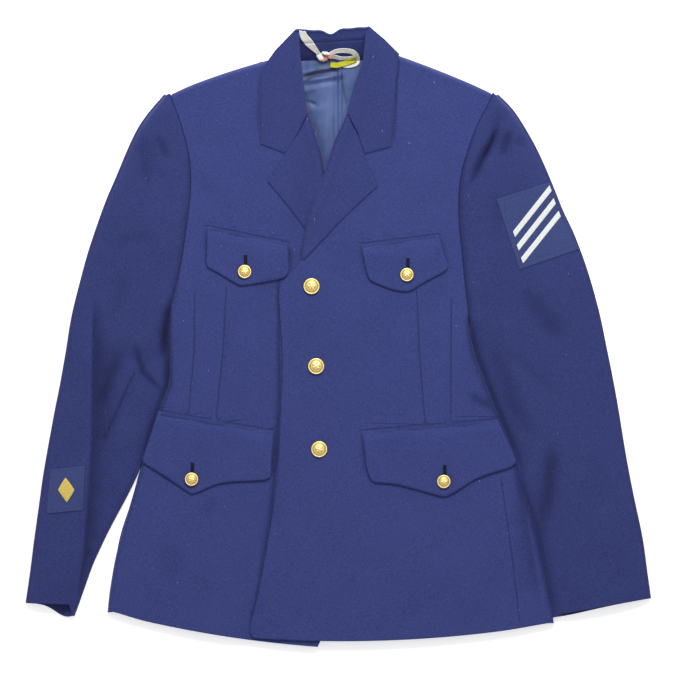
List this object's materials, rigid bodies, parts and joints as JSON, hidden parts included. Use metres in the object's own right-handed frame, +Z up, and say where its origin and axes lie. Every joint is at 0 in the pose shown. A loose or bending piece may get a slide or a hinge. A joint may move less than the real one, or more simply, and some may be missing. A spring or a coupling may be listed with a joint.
{
  "type": "uniform jacket",
  "caption": "Blue wool four-pocket uniform jacket lying flat on its back, with lapels, domed gilt buttons, buttoned pocket flaps, two set-in sleeves, a rank badge and a neck ribbon",
  "frame": {"origin": "middle of the box round the jacket, on the surface that it lies on", "axes": "+X to the wearer's left, +Y to the collar, +Z up, away from the surface that the back lies on"},
  "size_m": [0.81, 0.803, 0.0481],
  "materials": {
    "wool": "blue worsted wool, fine twill, soft sheen",
    "wool_shade": "the same wool where it is turned under",
    "lining_satin": "slate blue satin lining, glossy",
    "padding": "white wadding",
    "pocketing": "plain cotton pocket cloth",
    "gilt_brass": "gilt, polished relief over a matt ground",
    "felt": "dense felt badge cloth with a stitched edge",
    "white_braid": "white ribbed braid",
    "gold_thread": "gold embroidery thread",
    "cotton_tape": "off-white cotton tape",
    "tag_yellow": "yellow woven tag"
  },
  "bodies": {
    "torso": {"back_right": "wool", "back_left": "wool", "back_lining": "lining_satin", "front_shoulder_right": "wool", "front_shoulder_left": "wool", "side_body_right": "wool", "side_body_left": "wool", "shoulder_pads": "padding", "collar_stand": "wool_shade", "collar_fall": "wool", "neck_ribbon": "cotton_tape", "neck_tag": "tag_yellow"},
    "right_front": {"front_right": "wool", "front_lining_right": "lining_satin", "lapel_right": "wool", "collar_leaf_right": "wool", "pocket_welts_right": "wool_shade", "pocket_bags_right": "pocketing"},
    "left_front": {"front_left": "wool", "front_lining_left": "lining_satin", "lapel_left": "wool", "collar_leaf_left": "wool", "front_buttonholes": "wool_shade", "pocket_welts_left": "wool_shade", "pocket_bags_left": "pocketing"},
    "right_sleeve": {"top_sleeve_right": "wool", "under_sleeve_right": "wool_shade", "sleeve_lining_right": "lining_satin", "cuff_badge": "felt", "cuff_emblem": "gold_thread"},
    "left_sleeve": {"top_sleeve_left": "wool", "under_sleeve_left": "wool_shade", "sleeve_lining_left": "lining_satin", "rank_badge": "felt", "rank_stripes": "white_braid"},
    "chest_flap_right_body": {"chest_flap_right": "wool", "chest_buttonhole_right": "wool_shade"},
    "chest_flap_left_body": {"chest_flap_left": "wool", "chest_buttonhole_left": "wool_shade"},
    "hip_flap_right_body": {"hip_flap_right": "wool", "hip_buttonhole_right": "wool_shade"},
    "hip_flap_left_body": {"hip_flap_left": "wool", "hip_buttonhole_left": "wool_shade"},
    "front_button_top": {"front_button_top_shell": "gilt_brass", "front_button_top_back": "gilt_brass"},
    "front_button_middle": {"front_button_middle_shell": "gilt_brass", "front_button_middle_back": "gilt_brass"},
    "front_button_bottom": {"front_button_bottom_shell": "gilt_brass", "front_button_bottom_back": "gilt_brass"},
    "chest_button_right": {"chest_button_right_shell": "gilt_brass", "chest_button_right_back": "gilt_brass"},
    "chest_button_left": {"chest_button_left_shell": "gilt_brass", "chest_button_left_back": "gilt_brass"},
    "hip_button_right": {"hip_button_right_shell": "gilt_brass", "hip_button_right_back": "gilt_brass"},
    "hip_button_left": {"hip_button_left_shell": "gilt_brass", "hip_button_left_back": "gilt_brass"}
  },
  "joints": [
    {"name": "left_front_opens", "type": "hinge", "parent": "torso", "child": "left_front", "pos_m": [0.292, -0.368, 0.012], "axis": [-0.2803, 0.9597, 0.0185], "range_deg": [0, 90], "deforming": ["front_buttonholes"]},
    {"name": "right_front_opens", "type": "hinge", "parent": "torso", "child": "right_front", "pos_m": [-0.312, -0.362, 0.01212], "axis": [-0.2772, -0.9606, -0.0185], "range_deg": [0, 45]},
    {"name": "chest_flap_right_lifts", "type": "hinge", "parent": "right_front", "child": "chest_flap_right_body", "pos_m": [-0.1655, 0.1431, 0.026], "axis": [-0.9739, 0.1948, -0.1165], "range_deg": [0, 150], "deforming": ["chest_buttonhole_right"]},
    {"name": "chest_flap_left_lifts", "type": "hinge", "parent": "left_front", "child": "chest_flap_left_body", "pos_m": [0.031, 0.121, 0.03852], "axis": [-0.9875, -0.1209, 0.1007], "range_deg": [0, 150], "deforming": ["chest_buttonhole_left"]},
    {"name": "hip_flap_right_lifts", "type": "hinge", "parent": "right_front", "child": "hip_flap_right_body", "pos_m": [-0.233, -0.097, 0.02146], "axis": [-0.9845, 0.1661, -0.0556], "range_deg": [0, 150], "deforming": ["hip_buttonhole_right"]},
    {"name": "hip_flap_left_lifts", "type": "hinge", "parent": "left_front", "child": "hip_flap_left_body", "pos_m": [0.03, -0.121, 0.03052], "axis": [-0.9961, -0.0736, 0.0488], "range_deg": [0, 150], "deforming": ["hip_buttonhole_left"]},
    {"name": "right_sleeve_swings", "type": "hinge", "parent": "torso", "child": "right_sleeve", "pos_m": [-0.219, 0.314, 0.02], "axis": [0, 0, -1], "range_deg": [0, 15]},
    {"name": "left_sleeve_swings", "type": "hinge", "parent": "torso", "child": "left_sleeve", "pos_m": [0.199, 0.308, 0.02], "axis": [0, 0, 1], "range_deg": [0, 15]},
    {"name": "front_button_top_swivels", "type": "hinge", "parent": "right_front", "child": "front_button_top", "pos_m": [-0.035, 0.065, 0.03328], "axis": [0, 0, 1], "range_deg": [-40, 40]},
    {"name": "front_button_middle_swivels", "type": "hinge", "parent": "right_front", "child": "front_button_middle", "pos_m": [-0.029, -0.039, 0.0297], "axis": [0, 0, 1], "range_deg": [-40, 40]},
    {"name": "front_button_bottom_swivels", "type": "hinge", "parent": "right_front", "child": "front_button_bottom", "pos_m": [-0.025, -0.147, 0.02588], "axis": [0, 0, 1], "range_deg": [-40, 40]},
    {"name": "chest_button_right_swivels", "type": "hinge", "parent": "right_front", "child": "chest_button_right", "pos_m": [-0.122, 0.084, 0.02862], "axis": [0, 0, 1], "range_deg": [-40, 40]},
    {"name": "chest_button_left_swivels", "type": "hinge", "parent": "left_front", "child": "chest_button_left", "pos_m": [0.089, 0.08, 0.0295], "axis": [0, 0, 1], "range_deg": [-40, 40]},
    {"name": "hip_button_right_swivels", "type": "hinge", "parent": "right_front", "child": "hip_button_right", "pos_m": [-0.191, -0.186, 0.01986], "axis": [0, 0, 1], "range_deg": [-40, 40]},
    {"name": "hip_button_left_swivels", "type": "hinge", "parent": "left_front", "child": "hip_button_left", "pos_m": [0.137, -0.189, 0.02129], "axis": [0, 0, 1], "range_deg": [-40, 40]}
  ],
  "couplings": [
    {"joint": "right_front_opens", "follows": "left_front_opens", "ratio": 0.5}
  ]
}
